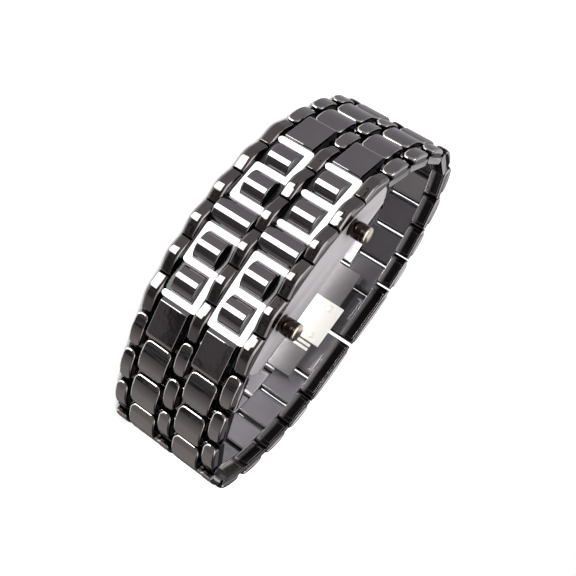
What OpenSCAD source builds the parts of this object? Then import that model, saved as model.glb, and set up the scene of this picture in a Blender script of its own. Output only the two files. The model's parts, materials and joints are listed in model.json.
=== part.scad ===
// Bracelet watch with a hidden segment display, lying on its 9 o'clock edge.
// X runs along the face with 12 o'clock at -X, Y runs from the face towards the
// clasp, and Z runs across the band towards the two pushers.

/* [Band] */
// Width of the band across all five columns
band_w = 24; // [20:0.5:28]
// Width of the raised part of a narrow column
narrow_w = 2.7; // [2.2:0.1:3.2]
// Width of the raised part of a wide column
wide_w = 6.1; // [5:0.1:7]
// Pitch from pin to pin, which is also the pitch of the scallops on the face
pitch = 7.6; // [7:0.1:9]
// Links on each side of the face
links_per_side = 8; // [7:1:9]
// Thickness of a link at its crown
link_t = 3.3; // [3:0.1:4]
// Height of the crown of a link above its ends
link_crown = 0.7; // [0.4:0.05:0.9]
// Gap between the ends of two neighbouring links
end_gap = 0.35; // [0.25:0.05:0.6]
// Gap between the fingers of two links on one pin
side_gap = 0.12; // [0.08:0.02:0.3]
// Depth of the grooves between the columns, below the ends of the crowns
groove_d = 1.0; // [0.6:0.1:1.2]
// Radius that rounds the long edges of the columns
edge_r = 0.8; // [0.4:0.1:1]
// Depth of the pins below the ends of the crowns
pin_depth = 1.2; // [1.1:0.05:1.4]
// Radius of a link pin
pin_r = 0.5; // [0.4:0.05:0.6]
// Radial clearance of a pin in its bore
pin_clear = 0.05; // [0.03:0.01:0.1]
// Where the band turns the tightest, as a share of the way from face to clasp
corner_at = 0.46; // [0.4:0.01:0.55]
// How much more the band bends at its corner than elsewhere
corner_gain = 2.7; // [1.5:0.1:3.5]

/* [Face] */
// Radius of the curve that the face follows
face_r = 47; // [42:0.5:60]
// Height of a scallop above the notches beside it
scallop_crown = 1.1; // [0.7:0.05:1.3]
// Depth of the rails below the notches
rail_d = 1.3; // [1.2:0.1:1.8]
// Radius of the curve that the raised fields of the window follow
field_r = 70; // [60:1:100]
// Depth of the raised fields of the window below the middle notch
field_d = 1.0; // [0.9:0.05:1.1]
// Pitch of the bars and of the light segments along the face
bar_pitch = 7.1; // [6.9:0.05:7.2]
// Length of a bar along the face
bar_len = 5.7; // [5.3:0.1:5.7]
// Height of a bar above the window
bar_h = 1.8; // [1.5:0.1:2.2]
// Width of a lit segment
segment_w = 1.2; // [1:0.05:1.3]
// Gap between a segment and the rail or bar beside it
segment_gap = 0.12; // [0.08:0.01:0.2]
// Thickness of the window
window_t = 1.0; // [0.8:0.1:1.2]
// Reach of an end piece from the last notch back over the face
end_piece_back = 4.35; // [4.2:0.05:4.35]
// Length of the bevel on an end piece
bevel_len = 0.8; // [0.5:0.1:1]

/* [Case] */
// Inset of the case sides from the band edges
case_inset = 0.1; // [0.1:0.1:0.6]
// Thickness of the case walls
wall = 1.3; // [1.2:0.1:1.6]
// Thickness of the case back
back_t = 1.0; // [0.8:0.1:1.2]
// Radius of a back screw head
screw_r = 0.8; // [0.6:0.1:1]
// Width of the tray beside the button cells
tray_rim = 1.7; // [1.4:0.1:2]
// Thickness of a button cell
cell_t = 1.6; // [1.2:0.1:1.6]
// Thickness of the circuit board
board_t = 0.8; // [0.6:0.1:1]
// Gap between the window and the circuit board at its ends
board_gap = 0.43; // [0.3:0.01:0.6]
// Gap between the circuit board and the button cells, for the control chip
cell_gap = 0.9; // [0.8:0.1:1.2]

/* [Pushers] */
// Distance of each pusher from the middle of the face, in pitches
pusher_at = 1.4; // [1.3:0.05:1.5]
// Depth of the pusher axis below the middle notch
pusher_depth = 4.6; // [4.5:0.1:4.8]
// Radius of a pusher
pusher_r = 1.7; // [1.3:0.05:1.8]
// How far a pusher stands out of the case side
pusher_out = 3.5; // [3:0.1:4.5]
// Travel of a pusher
pusher_travel = 0.7; // [0.4:0.1:0.8]
// Radial clearance of a pusher in the case
pusher_clear = 0.06; // [0.04:0.01:0.1]

/* [Clasp] */
// Length of a clasp cover along the band edge
cover_len = 14.2; // [13:0.1:16]
// Gap between the two covers
cover_gap = 0.8; // [0.6:0.1:1.2]
// Length of an arm from pin to pin
arm_len = 10.2; // [9:0.1:10.6]
// Width of an arm
arm_w = 9; // [7:0.5:10]
// Thickness of an arm
arm_t = 1.0; // [0.8:0.1:1.2]
// Thickness of the base strip
base_t = 0.8; // [0.7:0.1:1]
// Length of the catch plate along the band
catch_len = 9.6; // [8:0.1:12]
// Width of the catch plate across the band
catch_w = 15; // [13:0.5:17]
// Thickness of the catch plate
catch_t = 0.5; // [0.4:0.1:0.8]
// Radius of a clasp knuckle
knuckle_r = 0.85; // [0.8:0.05:1]

/* [Hidden] */
$fn = 64;
eps = 0.01;
link_ids = [for (i = [1:links_per_side]) i];
LINKS_12 = [for (i = link_ids) str("link_12_", i)];
LINKS_6 = [for (i = link_ids) str("link_6_", i)];

steel = "#4a4548";
satin = "#b5b0b3";
bright = "#e8e4dc";
black = "#141214";
light = "#ffffff";

// Columns across the band: low edge of the raised part and its width
groove_w = (band_w - 3 * narrow_w - 2 * wide_w) / 4;
narrow_z = [0, narrow_w + wide_w + 2 * groove_w, band_w - narrow_w];
wide_z = [narrow_w + groove_w, band_w - narrow_w - groove_w - wide_w];
flange = (groove_w - side_gap) / 2;

// Height of the crown of a link above its pin, and depth of its underside
link_bottom = link_t - link_crown;
knuckle_reach = pitch / 4 - end_gap / 2;
root_r = link_bottom - pin_depth;

// Face curve: a point s along the face and d below it, and the heading there
function face_a(s) = s / face_r * 180 / PI;
function face_x(s, d) = (face_r - d) * sin(face_a(s));
function face_y(s, d) = face_r - (face_r - d) * cos(face_a(s));
half_scallops = 3;
half_face = half_scallops * pitch;
face_end = face_a(half_face);

// The pins of half of the band, from the lug of the case to the clasp cover. The bends
// follow one bell curve, leaned towards the face or the clasp until the loop closes.
function bend_share(k, i) =
    (1 + corner_gain * exp(-pow((i - corner_at * links_per_side) / 1.1, 2)))
    * exp(k * (links_per_side / 2 - i) / 4);
function bend_sum(k, n) = n < 0 ? 0 : bend_share(k, n) + bend_sum(k, n - 1);
function heading(k, i) =
    face_end + (180 - face_end) * bend_sum(k, i) / bend_sum(k, links_per_side);
lug_pin = [face_x(half_face, 0) + pitch / 4 * cos(face_end) - pin_depth * sin(face_end),
           face_y(half_face, 0) + pitch / 4 * sin(face_end) + pin_depth * cos(face_end)];
function pin_at(k, i) = i == 0 ? lug_pin
    : pin_at(k, i - 1) + pitch * [cos(heading(k, i - 1)), sin(heading(k, i - 1))];
cover_pin_x = cover_len - pitch / 4 + cover_gap / 2;
function lean(low, high, steps) = steps == 0 ? (low + high) / 2
    : pin_at((low + high) / 2, links_per_side)[0] > cover_pin_x
        ? lean((low + high) / 2, high, steps - 1)
        : lean(low, (low + high) / 2, steps - 1);
band_lean = lean(-4, 4, 30);
pins = [for (i = [0:links_per_side]) pin_at(band_lean, i)];
turns = [for (i = [0:links_per_side]) heading(band_lean, i)];

// Middle of the whole object in Y, so that the origin lies under its centre
crest_y = min(face_r - (face_r + scallop_crown) * cos(face_a(pitch / 2)), field_d - bar_h);
cover_crown = 0.5;
clasp_y = pins[links_per_side][1] + pin_depth + cover_crown;
mid_y = (crest_y + clasp_y) / 2;

// Clasp: depth of its pins below the ends of the cover crowns, and places along the cover
cover_end = cover_len - pitch / 4;
clasp_pin_r = 0.4;
clasp_pin_d = link_bottom + knuckle_r + 0.1;
joint_in = 1.7;
cover_pin_s = cover_end - joint_in;
arm_pin_s = cover_pin_s - arm_len;
ear_w = 1.4;
ear_gap = 0.12;
ear_z = (band_w - arm_w) / 2 - ear_gap - ear_w;
base_d = clasp_pin_d + knuckle_r + 0.12;
base_w = arm_w + 2 * (ear_gap + ear_w);
base_reach = cover_gap / 2 + joint_in + arm_len;
rivet_r = 0.5;
rivet_x = catch_len / 2 - 1.4;
rivet_z = [band_w / 2 - arm_w / 2 - 0.6, band_w / 2 + arm_w / 2 + 0.6];

// Display: rows of gaps and bars along the face, and the columns of the digits
rail_gap = wide_w + 2 * groove_w;
digit_z = [narrow_w + rail_gap / 2, band_w - narrow_w - rail_gap / 2];
full_bar_w = rail_gap - 2 * segment_gap;
small_bar_w = rail_gap - 2 * (segment_w + 2 * segment_gap);
bar_r = (pow(bar_len / 2, 2) + bar_h * bar_h) / (2 * bar_h);
window_reach = half_face - end_piece_back + 0.6;
field_reach = half_face - end_piece_back - 0.05;
function field_a(s) = s / field_r * 180 / PI;
function field_x(s) = field_r * sin(field_a(s));
function field_y(s) = field_d + field_r * (1 - cos(field_a(s)));
scallop_r = (pow(pitch / 2, 2) + pow(scallop_crown, 2)) / (2 * scallop_crown);
inner_z = case_inset + wall;
case_reach = face_x(half_face, rail_d) - 0.6;
cavity_reach = 17.6;
end_crown = 0.75;
bevel_d = 0.8 * bevel_len - end_crown;
chip_w = 0.8;
chip_t = 0.4;
reflector_reach = 16.4;
board_reach = cavity_reach - 0.1;
board_w = band_w - 2 * inner_z - 1.8;
board_d = face_r - sqrt(pow(face_r - rail_d - window_t, 2) - pow(board_reach, 2)) + board_gap;
cell_d = board_w - 2 * tray_rim;
cell_y = board_d + board_t + cell_gap;
back_y = cell_y + cell_t;
case_d = back_y + back_t;
tray_reach = cell_d + 1.2;
control_w = 5;
chip_room = control_w + 0.6;

// Segments of a digit: a b c d e f g, true where it is lit
LIT = [[true, true, false, true, true, false, true],
       [true, true, true, true, false, false, true],
       [true, false, true, true, false, true, true],
       [true, false, true, true, true, true, true]];
DIGITS = [[-1.5, 0], [-1.5, 1], [1.5, 0], [1.5, 1]];

// Where a segment sits: its place along and across the band, and its length
function is_across(n) = n == 0 || n == 3 || n == 6;
function row_step(n) = n == 0 ? -1 : n == 3 ? 1 : n == 6 ? 0 : n == 1 || n == 5 ? -0.5 : 0.5;
function segment_s(d, n) = (DIGITS[d][0] + row_step(n)) * bar_pitch;
function segment_z(d, n) = digit_z[DIGITS[d][1]]
    + (is_across(n) ? 0 : (n < 3 ? 1 : -1) * (rail_gap / 2 - segment_gap - segment_w / 2));
function segment_len(n) =
    is_across(n) ? rail_gap - 2 * segment_gap : bar_pitch - segment_w - 2 * segment_gap;

// Pushers along Z: outside and inside of the wall, end of the head's travel, and the bracket
pusher_x = face_x(pusher_at * pitch, 0);
side_z = band_w - case_inset;
wall_z = side_z - wall;
head_z = wall_z - pusher_travel - 0.1;
bracket_z = head_z - 1.9;
bracket_w = 4.2;
seat_z = bracket_z + 0.4;
stem_r = 0.4;
clip_r = 0.9;
clip_t = 0.28;
spring_r = 0.62;
spring_wire = 0.09;
spring_turns = 5;

// Puts its children into the frame of the object
module placed() {
    translate([0, -mid_y, 0]) children();
}

// Mirrors its children to the 12 o'clock side
module side(twelve) {
    mirror([twelve ? 1 : 0, 0, 0]) children();
}

module on_face(s, d = 0) {
    translate([face_x(s, d), face_y(s, d), 0]) rotate([0, 0, face_a(s)]) children();
}

// Puts its children on the window at s along the face, with Y inwards
module on_window(s) {
    translate([field_x(s), field_y(s), 0]) rotate([0, 0, field_a(s)]) children();
}

// A ring sector under the face, from depth d1 to d2, reaching s either way
module face_band(d1, d2, reach) {
    intersection() {
        translate([0, face_r]) difference() {
            circle(r = face_r - d1, $fn = 180);
            circle(r = face_r - d2, $fn = 180);
        }
        translate([0, face_r])
            polygon([[0, 0], [-2 * face_r * tan(face_a(reach)), -2 * face_r],
                     [2 * face_r * tan(face_a(reach)), -2 * face_r]]);
    }
}

module slab(z, w) {
    translate([0, 0, z]) linear_extrude(height = w) children();
}

// Cross-section of columns, drawn with Y inwards and Z across, along X from x1 to x2
module column_run(x1, x2, zs, w, crown, bottom, low_flange, shoulder, round_r) {
    translate([x1, 0, 0]) rotate([0, 90, 0]) linear_extrude(height = x2 - x1)
        for (z = zs) {
            left = z < eps ? 0 : low_flange;
            right = z + w > band_w - eps ? 0 : low_flange;
            translate([-z - w - right, shoulder]) square([w + left + right, bottom - shoulder]);
            translate([-z - w, round_r - crown]) square([w, bottom - round_r + crown]);
            translate([-z - w + round_r, -crown]) square([w - 2 * round_r, bottom]);
            for (c = [-z - w + round_r, -z - round_r])
                translate([c, round_r - crown]) circle(r = round_r);
        }
}

// Side profile of a piece of the band from x = a to x = b, with a round root at the pin end
module crowned_side(a, b, crown, bottom, root_at_a, crown_r) {
    root = min(root_r, (b - a) / 2 - eps);
    heel = 0.6;
    ra = root_at_a ? root : heel;
    rb = root_at_a ? heel : root;
    intersection() {
        union() {
            translate([a, -crown]) square([b - a, crown + bottom - root]);
            translate([a + ra, -crown]) square([b - a - ra - rb, crown + bottom]);
            translate([root_at_a ? b - heel : a, 0]) square([heel, bottom - heel]);
            translate([a + ra, bottom - ra]) circle(r = ra);
            translate([b - rb, bottom - rb]) circle(r = rb);
        }
        translate([(a + b) / 2, crown_r - crown]) circle(r = crown_r, $fn = 180);
    }
}

function crown_radius(len, crown) = (pow(len / 2, 2) + crown * crown) / (2 * crown);

// Solid pieces of the columns, from their side profile and their cross-section
module columns(a, b, zs, w, crown, root_at_a) {
    intersection() {
        for (z = zs)
            slab(z < eps ? 0 : z - flange, w + (z < eps || z + w > band_w - eps ? flange : 2 * flange))
                crowned_side(a, b, crown, link_bottom, root_at_a, crown_radius(b - a, crown));
        column_run(a - 1, b + 1, zs, w, crown, link_bottom, flange, groove_d, edge_r);
    }
}

// Bore for a pin through the whole width
module pin_bore(x, y, r) {
    translate([x, y, -1]) cylinder(r = r, h = band_w + 2);
}

// Pin pressed into the narrow knuckles, with its ends sunk into both edges of the band
module link_pin() {
    translate([0, pin_depth, 0.3]) cylinder(r = pin_r, h = band_w - 0.6);
}

module pin_ends() {
    for (z = [-1, band_w - 0.3]) translate([0, pin_depth, z]) cylinder(r = pin_r, h = 1.3);
}

// One link: three narrow knuckles on the pin at x = 0, two wide ones on the next pin
module band_link(open_pivot) {
    difference() {
        union() {
            columns(-knuckle_reach, pitch * 3 / 4 - end_gap / 2, narrow_z, narrow_w, link_crown, true);
            columns(pitch / 4 + end_gap / 2, pitch + knuckle_reach, wide_z, wide_w, link_crown, false);
            translate([pitch / 4 + end_gap / 2, groove_d, 0.4])
                cube([pitch / 2 - end_gap, link_bottom - groove_d - 0.4, band_w - 0.8]);
        }
        pin_ends();
        pin_bore(pitch, pin_depth, pin_r + pin_clear);
    }
    if (!open_pivot) link_pin();
}

// The frame of link i, with its first pin at x = 0 and the crown ends at y = 0
module at_link(i) {
    translate([pins[i - 1][0], pins[i - 1][1], 0]) rotate([0, 0, turns[i - 1]])
        translate([0, -pin_depth, 0]) children();
}

module link(i, twelve) {
    color(steel) placed() side(twelve) at_link(i) band_link(i == 1 && !twelve);
}

// Clasp cover: the last, long piece of each band half, with two ears under it for the arm
module clasp_cover(twelve) {
    color(steel) placed() side(twelve) at_link(links_per_side + 1) {
        difference() {
            union() {
                columns(-knuckle_reach, cover_end, narrow_z, narrow_w, cover_crown, true);
                columns(pitch / 4 + end_gap / 2, cover_end, wide_z, wide_w, cover_crown, true);
                translate([pitch / 4 + end_gap / 2, groove_d, 0.4])
                    cube([cover_end - pitch / 4 - end_gap / 2 - 0.3,
                          link_bottom - groove_d - 0.4, band_w - 0.8]);
                for (z = [ear_z, band_w - ear_z - ear_w]) ear(cover_pin_s, z, -link_bottom);
            }
            pin_ends();
        }
        link_pin();
        arm_pin(cover_pin_s);
    }
}

// A knuckle on a clasp pin, with a foot reaching dy from the pin axis to its plate
module ear(s, z, plate_y) {
    foot = plate_y < 0 ? link_bottom - 0.3 : clasp_pin_d;
    depth = plate_y < 0 ? clasp_pin_d - foot : base_d + base_t / 2 - clasp_pin_d;
    translate([s, clasp_pin_d, z]) cylinder(r = knuckle_r, h = ear_w);
    translate([s - knuckle_r, foot, z]) cube([2 * knuckle_r, depth, ear_w]);
}

module arm_bore(s) {
    translate([s, clasp_pin_d, ear_z - 1]) cylinder(r = clasp_pin_r + pin_clear, h = band_w - 2 * ear_z + 2);
}

module arm_pin(s) {
    translate([s, clasp_pin_d, ear_z + 0.1]) cylinder(r = clasp_pin_r, h = band_w - 2 * ear_z - 0.2);
}

// Arm between the cover and the base, with a knuckle on each pin
module clasp_arm(twelve) {
    color(satin) placed() side(twelve) at_link(links_per_side + 1) difference() {
        union() {
            for (s = [arm_pin_s, cover_pin_s])
                translate([s, clasp_pin_d, (band_w - arm_w) / 2])
                    cylinder(r = knuckle_r - 0.1, h = arm_w);
            translate([arm_pin_s, clasp_pin_d - arm_t / 2, (band_w - arm_w) / 2])
                cube([arm_len, arm_t, arm_w]);
        }
        arm_bore(arm_pin_s);
        arm_bore(cover_pin_s);
        translate([(arm_pin_s + cover_pin_s) / 2 - arm_len / 5, clasp_pin_d - arm_t, band_w / 2 - arm_w / 5])
            cube([arm_len * 2 / 5, 2 * arm_t, arm_w * 2 / 5]);
    }
}

// Base strip with the hinge ears at both ends and the pins of the two arms
module clasp_base() {
    color(satin) placed() {
        difference() {
            union() {
                clasp_frame() translate([-base_reach - knuckle_r, base_d, ear_z])
                    cube([2 * (base_reach + knuckle_r), base_t, base_w]);
                for (m = [0, 1]) side(m == 1) at_link(links_per_side + 1)
                    for (z = [ear_z, band_w - ear_z - ear_w]) ear(arm_pin_s, z, 1);
            }
            for (z = rivet_z, m = [-1, 1])
                clasp_frame() translate([m * rivet_x, base_d - 1, z]) rotate([-90, 0, 0])
                    cylinder(r = rivet_r + pin_clear, h = 4);
        }
        for (m = [0, 1]) side(m == 1) at_link(links_per_side + 1) arm_pin(arm_pin_s);
    }
}

// Frame of the clasp: y = 0 at the ends of the cover crowns, and Y still towards the wrist
module clasp_frame() {
    translate([0, pins[links_per_side][1] + pin_depth, 0]) mirror([0, 1, 0]) children();
}

// Polished plate on the wrist side of the base, which takes the snap of both arms
module catch_plate() {
    color(bright) placed() clasp_frame() difference() {
        translate([-catch_len / 2, base_d + base_t, (band_w - catch_w) / 2])
            cube([catch_len, catch_t, catch_w]);
        for (z = rivet_z, m = [-1, 1])
            translate([m * rivet_x, base_d, z]) rotate([-90, 0, 0])
                cylinder(r = rivet_r + pin_clear, h = 4);
    }
}

module catch_rivets() {
    color(satin) placed() clasp_frame() for (z = rivet_z, m = [-1, 1])
        translate([m * rivet_x, base_d, z]) rotate([-90, 0, 0]) {
            cylinder(r = rivet_r, h = base_t + catch_t);
            translate([0, 0, base_t + catch_t]) intersection() {
                cylinder(r = rivet_r + 0.3, h = 0.25);
                translate([0, 0, -1.2]) sphere(r = 1.45);
            }
        }
}

// Profile of a rail: a curved spine under a row of scallops, with a notch between each two
module rail_profile() {
    wedge = face_a(pitch / 2) + 0.5;
    intersection() {
        face_band(-scallop_crown - 1, rail_d, half_face);
        union() {
            face_band(0.4, rail_d + 1, half_face + 1);
            for (k = [-half_scallops + 0.5:1:half_scallops - 0.5])
                translate([0, face_r]) rotate([0, 0, face_a(k * pitch)]) translate([0, -face_r])
                    intersection() {
                        translate([0, scallop_r - scallop_crown]) circle(r = scallop_r, $fn = 180);
                        polygon([[0, 0.8], [-(face_r - 0.8) * tan(wedge), 0.8],
                                 [-(face_r + 3) * tan(wedge), -3], [(face_r + 3) * tan(wedge), -3],
                                 [(face_r - 0.8) * tan(wedge), 0.8]]);
                    }
        }
    }
}

// Ring that rounds the two long edges of a rail
module rail_ring(z) {
    top = face_r + scallop_crown + 0.02;
    translate([0, face_r, z]) rotate([0, 0, -135]) rotate_extrude(angle = 90, $fn = 180) {
        translate([face_r - 3, 0]) square([top - edge_r - face_r + 3, narrow_w]);
        translate([face_r - 3, edge_r]) square([top - face_r + 3, narrow_w - 2 * edge_r]);
        for (c = [edge_r, narrow_w - edge_r]) translate([top - edge_r, c]) circle(r = edge_r);
    }
}

module rail(z) {
    intersection() {
        slab(z, narrow_w) rail_profile();
        rail_ring(z);
    }
}

// Polished frame of the display: three scalloped rails tied by the two full bars
module display_frame() {
    color(steel) placed() {
        for (z = narrow_z) rail(z);
        for (c = digit_z) bar(0, c, rail_gap + 0.4);
    }
}

// Half-round bar across a column
module bar(s, zc, w) {
    on_window(s) intersection() {
        slab(zc - w / 2, w) intersection() {
            translate([0, bar_r - bar_h]) circle(r = bar_r);
            translate([-bar_len, -2 * bar_h]) square([2 * bar_len, 2 * bar_h]);
        }
        translate([-bar_len, 0, 0]) rotate([0, 90, 0]) linear_extrude(height = 2 * bar_len) {
            r = 0.5;
            translate([-zc - w / 2, -bar_h + r]) square([w, bar_h]);
            translate([-zc - w / 2 + r, -bar_h]) square([w - 2 * r, bar_h]);
            for (c = [-zc - w / 2 + r, -zc + w / 2 - r]) translate([c, -bar_h + r]) circle(r = r);
        }
    }
}

// The eight small bars that fill the holes of the digits
module segment_bars() {
    color(steel) placed()
        for (k = [-2, -1, 1, 2], c = digit_z) bar(k * bar_pitch, c, small_bar_w);
}

// Segment n of digit d, from depth below the window up to rise above it
module segment(d, n, depth, rise, shrink = 0) {
    w = segment_w - 2 * shrink;
    l = segment_len(n) - 6 * shrink;
    on_window(segment_s(d, n)) translate([0, depth, segment_z(d, n)])
        rotate([90, 0, 0]) linear_extrude(height = depth + rise) rotate([0, 0, is_across(n) ? 90 : 0]) {
            square([l - w, w], center = true);
            for (m = [-1, 1]) translate([m * (l - w) / 2, 0]) circle(r = w / 2);
        }
}

module segments(lit) {
    color(lit ? light : black) placed()
        for (d = [0:3], n = [0:6]) if (LIT[d][n] == lit) segment(d, n, window_t, 0.1);
}

// Raised field of the window between two rails, flatter than the face
module field() {
    intersection() {
        translate([0, field_d + field_r]) circle(r = field_r, $fn = 180);
        face_band(-2, rail_d + 0.5, field_reach);
    }
}

// Dark window that carries the small bars and has a slot for every light segment
module window() {
    field_w = rail_gap - 0.1;
    color(black) placed() difference() {
        union() {
            slab(inner_z, band_w - 2 * inner_z) face_band(rail_d, rail_d + window_t, window_reach);
            for (c = digit_z) slab(c - field_w / 2, field_w) field();
        }
        for (d = [0:3], n = [0:6]) segment(d, n, window_t + 2.2, 1);
        for (m = [-1, 1]) head_room(m, 0.1);
    }
}

// White block that guides the light from the chips to the window
module reflector_block() {
    color(light) placed() difference() {
        slab(inner_z + 0.2, band_w - 2 * (inner_z + 0.2)) intersection() {
            face_band(rail_d + window_t, face_r / 2, window_reach);
            translate([-reflector_reach, 0]) square([2 * reflector_reach, board_d]);
        }
        for (d = [0:3], n = [0:6]) segment(d, n, 7, 0.5, 0.1);
        for (m = [-1, 1]) {
            head_room(m, 0.1);
            translate([m * pusher_x - bracket_w / 2 - 0.1, 0, bracket_z - 0.1])
                cube([bracket_w + 0.2, case_d, 9]);
            translate([m * pusher_x - clip_r - 0.15, 0, bracket_z - clip_t - pusher_travel - 0.4])
                cube([2 * clip_r + 0.3, case_d, 9]);
        }
    }
}

// Room that the head of a pusher sweeps through the wall and behind it, grown by g
module head_room(m, g) {
    translate([m * pusher_x, pusher_depth, head_z - g])
        cylinder(r = pusher_r + pusher_clear + g, h = wall + pusher_travel + 2);
}

module circuit_board() {
    color("#1d5a36") placed() translate([-board_reach, board_d, (band_w - board_w) / 2])
        cube([2 * board_reach, board_t, board_w]);
}

// One chip under each segment, at the foot of its well
module led_chips() {
    reach = board_reach - chip_w / 2;
    color("#f0e8c0") placed() for (d = [0:3], n = [0:6]) {
        s = segment_s(d, n);
        x = field_x(s) - (board_d - chip_t / 2 - field_y(s)) * tan(field_a(s));
        translate([max(-reach, min(reach, x)) - chip_w / 2, board_d - chip_t, segment_z(d, n) - chip_w / 2])
            cube([chip_w, chip_t, chip_w]);
    }
}

module control_chip() {
    color(black) placed() translate([-control_w / 2, board_d + board_t, (band_w - control_w) / 2])
        cube([control_w, cell_gap - 0.4, control_w]);
}

// Two button cells side by side under the board
module button_cells() {
    color(satin) placed() for (m = [-1, 1])
        translate([m * (cell_d / 2 + 0.2), cell_y, band_w / 2 - 0.6]) rotate([-90, 0, 0]) {
            cylinder(r = cell_d / 2 - 0.2, h = cell_t - 0.2);
            translate([0, 0, cell_t - 0.2]) cylinder(r = cell_d / 2 - 1, h = 0.2);
        }
}

// Plastic tray that locates the cells between the board and the case back
module cell_tray() {
    tray_y = board_d + board_t;
    color("#2b2b2e") placed() difference() {
        translate([-tray_reach, tray_y, (band_w - board_w) / 2])
            cube([2 * tray_reach, back_y - 0.5 - tray_y, board_w]);
        for (m = [-1, 1]) translate([m * (cell_d / 2 + 0.2), tray_y - 1, band_w / 2 - 0.6])
            rotate([-90, 0, 0]) cylinder(r = cell_d / 2 + 0.05, h = cell_t + 4);
        translate([-chip_room / 2, tray_y - 1, (band_w - chip_room) / 2])
            cube([chip_room, cell_t + 4, chip_room]);
    }
}

// Outline of the case from the side, shrunk by g, above depth y
module case_side(g, top, bottom) {
    intersection() {
        translate([0, face_r]) circle(r = face_r - top, $fn = 180);
        translate([0, face_r])
            polygon([[0, 0], [-2 * face_r * tan(face_end), -2 * face_r],
                     [2 * face_r * tan(face_end), -2 * face_r]]);
        translate([-case_reach + g, -5]) square([2 * (case_reach - g), bottom + 5]);
    }
}

// Case with its side walls and the four end pieces that are the lugs of the band
module case_body() {
    color(satin) placed() difference() {
        union() {
            difference() {
                union() {
                    slab(case_inset, band_w - 2 * case_inset) case_side(0, rail_d, back_y);
                    for (m = [0, 1]) side(m == 1) on_face(half_face) end_pieces();
                }
                case_cavity();
            }
            for (m = [-1, 1]) pusher_bracket(m);
        }
        for (m = [0, 1]) side(m == 1) on_face(half_face) pin_bore(pitch / 4, pin_depth, pin_r + pin_clear);
        for (m = [-1, 1]) {
            head_room(m, 0);
            translate([m * pusher_x, pusher_depth, bracket_z - 1])
                cylinder(r = stem_r + pusher_clear, h = 4);
            translate([m * pusher_x, pusher_depth, seat_z])
                cylinder(r = spring_r + spring_wire + 0.08, h = 3);
        }
        for (x = [-1, 1], z = [-1, 1]) screw_place(x, z) translate([0, 0, -1.4])
            cylinder(r = screw_r / 2 + pin_clear, h = 2);
        // Room in the end pieces for the outermost segments
        for (d = [0:3], n = [0:6])
            if (is_across(n) && abs(segment_s(d, n)) > field_reach - 1.5 * segment_w)
                segment(d, n, window_t + 0.3, 1, -0.05);
    }
}

module case_cavity() {
    slab(inner_z, band_w - 2 * inner_z) {
        face_band(rail_d - 0.05, face_r / 2, window_reach);
        translate([-cavity_reach, board_d - 2]) square([2 * cavity_reach, case_d]);
    }
}

// Bracket inside the case wall that guides the stem of a pusher and seats its spring
module pusher_bracket(m) {
    intersection() {
        translate([m * pusher_x - bracket_w / 2, 0, bracket_z])
            cube([bracket_w, board_d - 0.05, wall_z + 0.1 - bracket_z]);
        slab(bracket_z, band_w) face_band(rail_d + window_t + 0.05, face_r / 2, half_face);
    }
}

// The two wide end pieces at one end of the case, bevelled towards the display
module end_pieces() {
    tip = pitch / 4 + knuckle_reach;
    intersection() {
        for (z = wide_z) slab(z - flange, wide_w + 2 * flange) difference() {
            union() {
                translate([-end_piece_back, -end_crown])
                    square([end_piece_back + tip - root_r, end_crown + link_bottom]);
                translate([0, -end_crown]) square([tip, end_crown + pin_depth]);
                translate([tip - root_r, pin_depth]) circle(r = root_r);
            }
            polygon([[-end_piece_back - 1, -end_crown - 1], [-end_piece_back + bevel_len, -end_crown - eps],
                     [-end_piece_back, bevel_d], [-end_piece_back - 1, bevel_d]]);
            translate([tip, -end_crown]) polygon([[-0.6, -eps], [0, 0.3], [1, 0.3], [1, -1], [-0.6, -1]]);
        }
        column_run(-end_piece_back - 1, tip + 1, wide_z, wide_w, end_crown, link_bottom, flange, groove_d,
                   edge_r / 2);
    }
}

// Frame of a screw in the back, with Z pointing out of the back
module screw_place(x, z) {
    translate([x * (cavity_reach + 1.15), case_d - back_t, band_w / 2 + z * (band_w / 2 - 4)])
        rotate([-90, 0, 0]) children();
}

module case_back() {
    color(satin) placed() difference() {
        slab(case_inset + 0.1, band_w - 2 * case_inset - 0.2) intersection() {
            case_side(0.1, rail_d, case_d);
            translate([-face_r, back_y]) square([2 * face_r, back_t]);
        }
        for (x = [-1, 1], z = [-1, 1]) screw_place(x, z) {
            translate([0, 0, -1]) cylinder(r = screw_r / 2 + pin_clear, h = 4);
            translate([0, 0, back_t - 0.5]) cylinder(r = screw_r + pin_clear, h = 2);
        }
    }
}

module back_screws() {
    color(satin) placed() for (x = [-1, 1], z = [-1, 1]) screw_place(x, z) difference() {
        union() {
            translate([0, 0, -1.3]) cylinder(r = screw_r / 2, h = 1.3 + back_t - 0.4);
            translate([0, 0, back_t - 0.45]) cylinder(r = screw_r, h = 0.4);
        }
        translate([-screw_r, -0.1, back_t - 0.25]) cube([2 * screw_r, 0.2, 1]);
    }
}

// Seal between the case and its back, in the mouth of the cavity
module back_gasket() {
    color(black) placed() slab_y(back_y - 0.5, 0.5) difference() {
        square([2 * cavity_reach, band_w - 2 * inner_z], center = true);
        square([2 * cavity_reach - 1.2, band_w - 2 * inner_z - 1.2], center = true);
    }
}

// Extrudes a plan drawn in X and across the band, from depth y inwards
module slab_y(y, t) {
    translate([0, y + t, band_w / 2]) rotate([90, 0, 0]) linear_extrude(height = t) children();
}

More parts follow.
